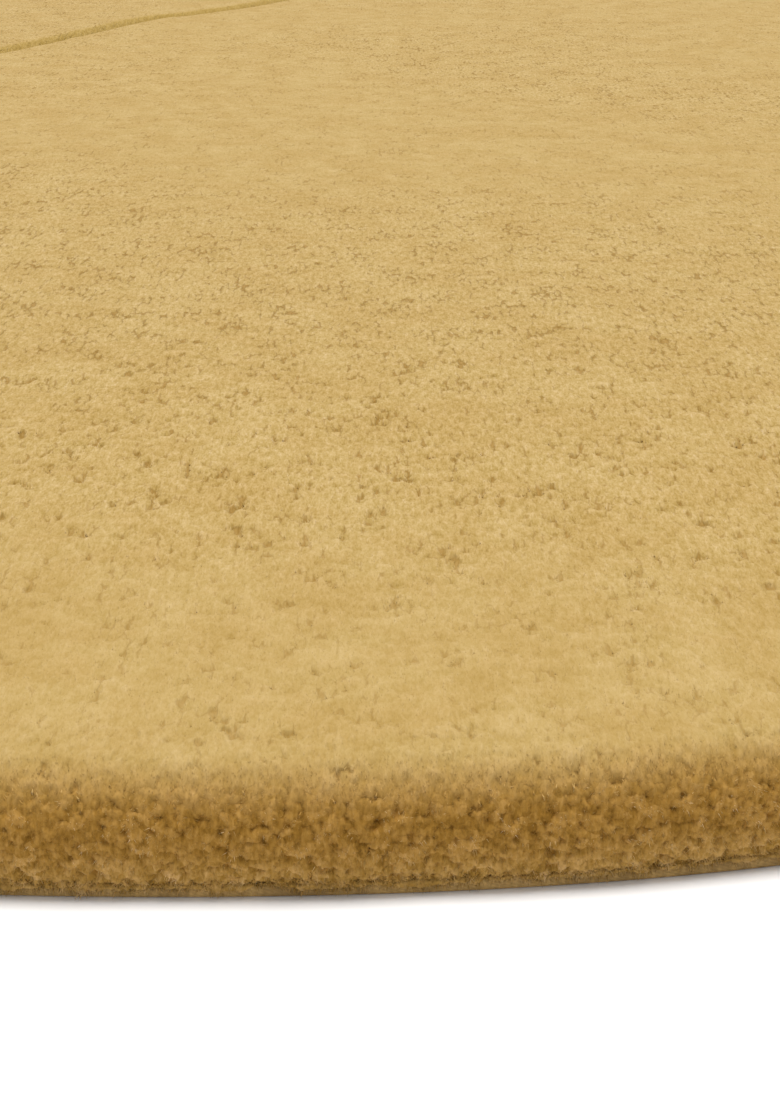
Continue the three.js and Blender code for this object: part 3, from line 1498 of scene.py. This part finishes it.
@dataclass(frozen=True)
class TopCover:
    """Where fibre ends stand on the top: thick near the edge, and thinning out far back."""

    looked_at: LookedAt
    fade_from: float = 300 * MM
    fade_to: float = 470 * MM
    half_width: float = 60 * MM
    spread: float = 0.21
    side_fade: float = 10 * MM

    def share(self, places: Array) -> Array:
        """How thick the fibres stand at places.

        Args:
            places: one place in each row.

        Returns:
            Shares from 0 to 1.
        """
        at = self.looked_at
        depth = np.maximum(places[:, 1] - at.near_edge, 0)
        far = np.clip((self.fade_to - depth) / (self.fade_to - self.fade_from), 0, 1)
        room = self.half_width + self.spread * depth - np.abs(places[:, 0] - at.across)
        return far * np.clip(room / self.side_fade, 0, 1)


@dataclass
class TopFibres(PileFibres):
    """Fibres on the sheared top in one band, that thin out over the shoulder."""

    start: float = 0.0
    stop: float = 0.0
    inset_from: float = 1.5 * MM
    inset_to: float = 7.0 * MM
    scatter: float = 0.5

    def seats(self, rng: np.random.Generator) -> FibreSeats:
        """Where the fibres stand.

        Args:
            rng: the source of the jitter.

        Returns:
            The seats.
        """
        form = self.form
        at, cover = form.looked_at, TopCover(form.looked_at)
        reach = cover.half_width + cover.spread * self.stop
        depths = np.arange(self.start, self.stop, self.pitch)
        asides = np.arange(-reach, reach, self.pitch)
        grid = np.stack(np.meshgrid(asides, depths), axis=-1).reshape(-1, 2)
        grid = grid + rng.uniform(-self.scatter, self.scatter, grid.shape) * self.pitch
        places = grid + np.array([at.across, at.near_edge])
        inset = form.outline.inset_of(places)
        chance = cover.share(places) * (inset - self.inset_from)
        chance /= self.inset_to - self.inset_from
        kept = rng.random(len(places)) < chance
        places, inset = places[kept], np.minimum(inset[kept], form.section.shoulder_reach)
        count = len(places)
        way = form.section.way_at_inset(inset)
        _, height = form.section.at(way)
        facing = np.tile([0.0, 0.0, 1.0], (count, 1))
        return FibreSeats(np.column_stack([places, height]), places, facing, form.flare(way))


@dataclass
class SideFibres(PileFibres):
    """Fibres on the shoulder and the side wall, along one stretch of the edge."""

    centre: float = 0.0
    half_length: float = 0.0
    above_foot: float = 1.0
    end_fade: float = 8 * MM
    first_fade: float = 6 * MM
    row_pitch: float = 0.87
    scatter: float = 0.6

    def seats(self, rng: np.random.Generator) -> FibreSeats:
        """Where the fibres stand, in jittered rows.

        Args:
            rng: the source of the jitter.

        Returns:
            The seats.
        """
        form = self.form
        first = max(form.section.run - self.above_foot, 0)
        rows = np.arange(first, form.section.run, self.pitch * self.row_pitch)
        columns = np.arange(-self.half_length, self.half_length, self.pitch)
        arc, way = np.meshgrid(columns, rows)
        arc, way = (
            (place + rng.uniform(-self.scatter, self.scatter, place.shape) * self.pitch).ravel()
            for place in (arc, way))
        chance = np.clip((self.half_length - np.abs(arc)) / self.end_fade, 0, 1)
        chance = chance * np.clip(way / self.first_fade, 0, 1)
        kept = (rng.random(len(arc)) < chance) & (way < form.section.run)
        arc, way = arc[kept] + self.centre, way[kept]
        point, lay = form.on_side(arc, way)
        _, inward = form.outline.at(arc, np.zeros(len(arc)))
        out_share, up_share = form.section.facing(way)
        facing = np.column_stack([-inward * out_share[:, None], up_share])
        return FibreSeats(point, lay, facing, form.flare(way))


@dataclass
class Backing:
    """The canvas glued on under the pile: a thin flat sheet with a soft cut edge."""

    outline: RugOutline
    finish: CanvasFinish
    thickness: float
    inset: float
    name: str = "backing_canvas"
    edge_radius: float = 0.5 * MM
    edge_steps: int = 4
    steps: int = 900

    def build(self) -> Thing:
        """Builds and dresses the backing.

        Returns:
            Its object.
        """
        arc = np.arange(self.steps) * self.outline.girth / self.steps
        rows = self.profile()
        points = []
        for inset, height in rows:
            place, _ = self.outline.at(arc, np.full(self.steps, self.inset + inset))
            points.append(at_height(place, height))
        points.append(np.array([[0, 0, rows[0][1]], [0, 0, rows[-1][1]]]))
        faces = []
        here = np.arange(self.steps)
        there = np.roll(here, -1)
        for row in range(len(rows) - 1):
            low, high = row * self.steps, (row + 1) * self.steps
            faces.append(np.column_stack([low + here, low + there, high + there]))
            faces.append(np.column_stack([low + here, high + there, high + here]))
        bottom, last = len(rows) * self.steps, (len(rows) - 1) * self.steps
        faces.append(np.column_stack([there, here, np.full(self.steps, bottom)]))
        faces.append(np.column_stack([last + here, last + there, np.full(self.steps, bottom + 1)]))
        thing = MeshBench.build(self.name, np.concatenate(points), np.concatenate(faces), {})
        thing.data.materials.append(self.finish.material("undyed_canvas"))
        return thing

    def profile(self) -> list[tuple[float, float]]:
        """The edge's section from the underside up.

        Returns:
            How far in and how high each ring lies.
        """
        radius = self.edge_radius
        turns = np.linspace(0, math.pi / 2, self.edge_steps + 1)
        low = [(radius * (1 - math.sin(turn)), radius * (1 - math.cos(turn))) for turn in turns]
        return low + [(inset, self.thickness - height) for inset, height in reversed(low)]


@dataclass
class Studio:
    """The camera at the photograph's place, soft light from above and a plain pale floor."""

    looked_at: LookedAt
    floor_size: float = 30.0
    floor_colour: tuple = (0.96, 0.96, 0.96, 1.0)
    floor_roughness: float = 0.8
    sky: float = 0.57
    lamp_size: float = 4.4
    lamp_power: float = 550.0
    lamp_place: tuple = (0.0, 0.7, 5.85)
    lamp_aim: tuple = (0.0, 1.1, 0.0)

    def build(self) -> None:
        """Sets up the camera, the light and the floor."""
        self.camera()
        self.light()
        self.floor()

    def camera(self) -> None:
        """Places the camera as the photograph was taken."""
        at = self.looked_at
        data = bpy.data.cameras.new("camera")
        data.sensor_width = at.long_side
        data.lens = at.focal_pixels / max(at.photo_width, at.photo_height) * at.long_side
        data.clip_start = at.clip_from
        camera = placed("camera", data)
        camera.location = (at.across, at.near_edge - at.stand_off, at.height)
        camera.rotation_euler = (math.radians(90 - at.pitch_down), 0, 0)
        bpy.context.scene.camera = camera

    def light(self) -> None:
        """A wide soft lamp above the rug, and a dim even sky."""
        scene = bpy.context.scene
        scene.view_settings.view_transform = "Standard"
        world = bpy.data.worlds.new("sky")
        world.use_nodes = True
        sky = world.node_tree.nodes["Background"]
        sky.inputs["Color"].default_value = (1.0, 1.0, 1.0, 1.0)
        sky.inputs["Strength"].default_value = self.sky
        scene.world = world
        data = bpy.data.lights.new("soft_box", "AREA")
        data.size = self.lamp_size
        data.energy = self.lamp_power
        lamp = placed("soft_box", data)
        lamp.location = self.lamp_place
        aim = Vector(self.lamp_aim) - Vector(self.lamp_place)
        lamp.rotation_euler = aim.to_track_quat("-Z", "Y").to_euler()

    def floor(self) -> None:
        """A plain pale floor."""
        half = self.floor_size / 2
        mesh = bpy.data.meshes.new("floor")
        corners = [(-half, -half, 0), (half, -half, 0), (half, half, 0), (-half, half, 0)]
        mesh.from_pydata(corners, [], [(0, 1, 2, 3)])
        material = bpy.data.materials.new("pale_floor")
        material.use_nodes = True
        shader = material.node_tree.nodes["Principled BSDF"]
        shader.inputs["Base Color"].default_value = self.floor_colour
        shader.inputs["Roughness"].default_value = self.floor_roughness
        mesh.materials.append(material)
        floor = placed("floor", mesh)


@dataclass
class FibreCover:
    """All the fibre that stands on the pile: fine on the photographed stretch of the edge,
    coarser on the rest of the side, and in bands over the top. Each band has its start and
    its end behind the near edge and its pitch, in millimetres."""

    form: PileForm
    finish: WoolFinish
    relief: TuftRelief
    near_half: float = 66 * MM
    overlap: float = 4 * MM
    bands: tuple = ((0, 70, 0.50), (70, 180, 0.64), (180, 330, 0.86), (330, 470, 1.3))
    band_radius: float = 0.42
    band_stand: float = 0.35 * MM
    band_seed: int = 70

    def build(self) -> list[Thing]:
        """Builds and dresses the fibres.

        Returns:
            The pieces.
        """
        made_of = (self.form, self.finish, self.relief)
        girth = self.form.outline.girth
        near = self.form.outline.nearest_arc(self.form.looked_at.across)
        pieces = [
            SideFibres(*made_of, "edge_fibres", seed=5, pitch=0.32 * MM, radius=0.095 * MM,
                       stand=0.9 * MM, lean=0.4, sag=0.25, centre=near,
                       half_length=self.near_half),
            SideFibres(*made_of, "foot_fringe", seed=7, pitch=0.26 * MM, radius=0.11 * MM,
                       stand=0.8 * MM, root_depth=0.3 * MM, lean=0.6, foot_sag=1.2,
                       foot_stand=0.6 * MM, shortest=0.2, centre=near,
                       half_length=self.near_half, above_foot=2.2 * MM),
            SideFibres(*made_of, "side_fibres", seed=6, pitch=1.5 * MM, radius=0.4 * MM,
                       stand=1.2 * MM, root_depth=1.2 * MM, lean=0.35, sag=0.25, foot_sag=1.2,
                       foot_stand=0.8 * MM, centre=near + girth / 2,
                       half_length=girth / 2 - self.near_half + self.overlap),
        ]
        for number, (start, stop, pitch) in enumerate(self.bands, start=1):
            pieces.append(TopFibres(*made_of, f"top_fibres_{number}",
                                    seed=self.band_seed + number, pitch=pitch * MM,
                                    radius=self.band_radius * pitch * MM, stand=self.band_stand,
                                    start=start * MM, stop=stop * MM))
        return [piece.build() for piece in pieces]


def report(thing: Thing) -> None:
    """Says what a piece is made of."""
    log.info("%s: %d triangles", thing.name, len(thing.data.polygons))


def main() -> None:
    """Builds the rug's pieces in order and dresses the scene."""
    logging.basicConfig(level=logging.INFO, format="%(name)s: %(message)s")
    looked_at = LookedAt()
    Studio(looked_at).build()
    low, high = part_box("wool_pile")
    outline = RugOutline(high[0] - low[0], high[1] - low[1])
    form = PileForm(outline, PileSection(top=high[2], foot=low[2]), CarvedLine(), looked_at)
    wool = WoolFinish(TuftPattern())
    relief = TuftRelief(wool.pattern)
    sheet = WoolPile(form, wool, relief).build()
    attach(sheet, "root")
    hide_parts("wool_pile")
    report(sheet)
    cloth_low, cloth_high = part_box("backing_cloth")
    inset = high[0] - cloth_high[0]
    canvas = Backing(outline, CanvasFinish(), cloth_high[2] - cloth_low[2], inset).build()
    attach(canvas, "root")
    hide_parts("backing_cloth")
    report(canvas)
    fibres = FibreCover(form, wool, relief).build()
    for piece in fibres:
        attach(piece, "root")
        report(piece)
    outline.area
    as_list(fibres)


if __name__ == "__main__":
    main()
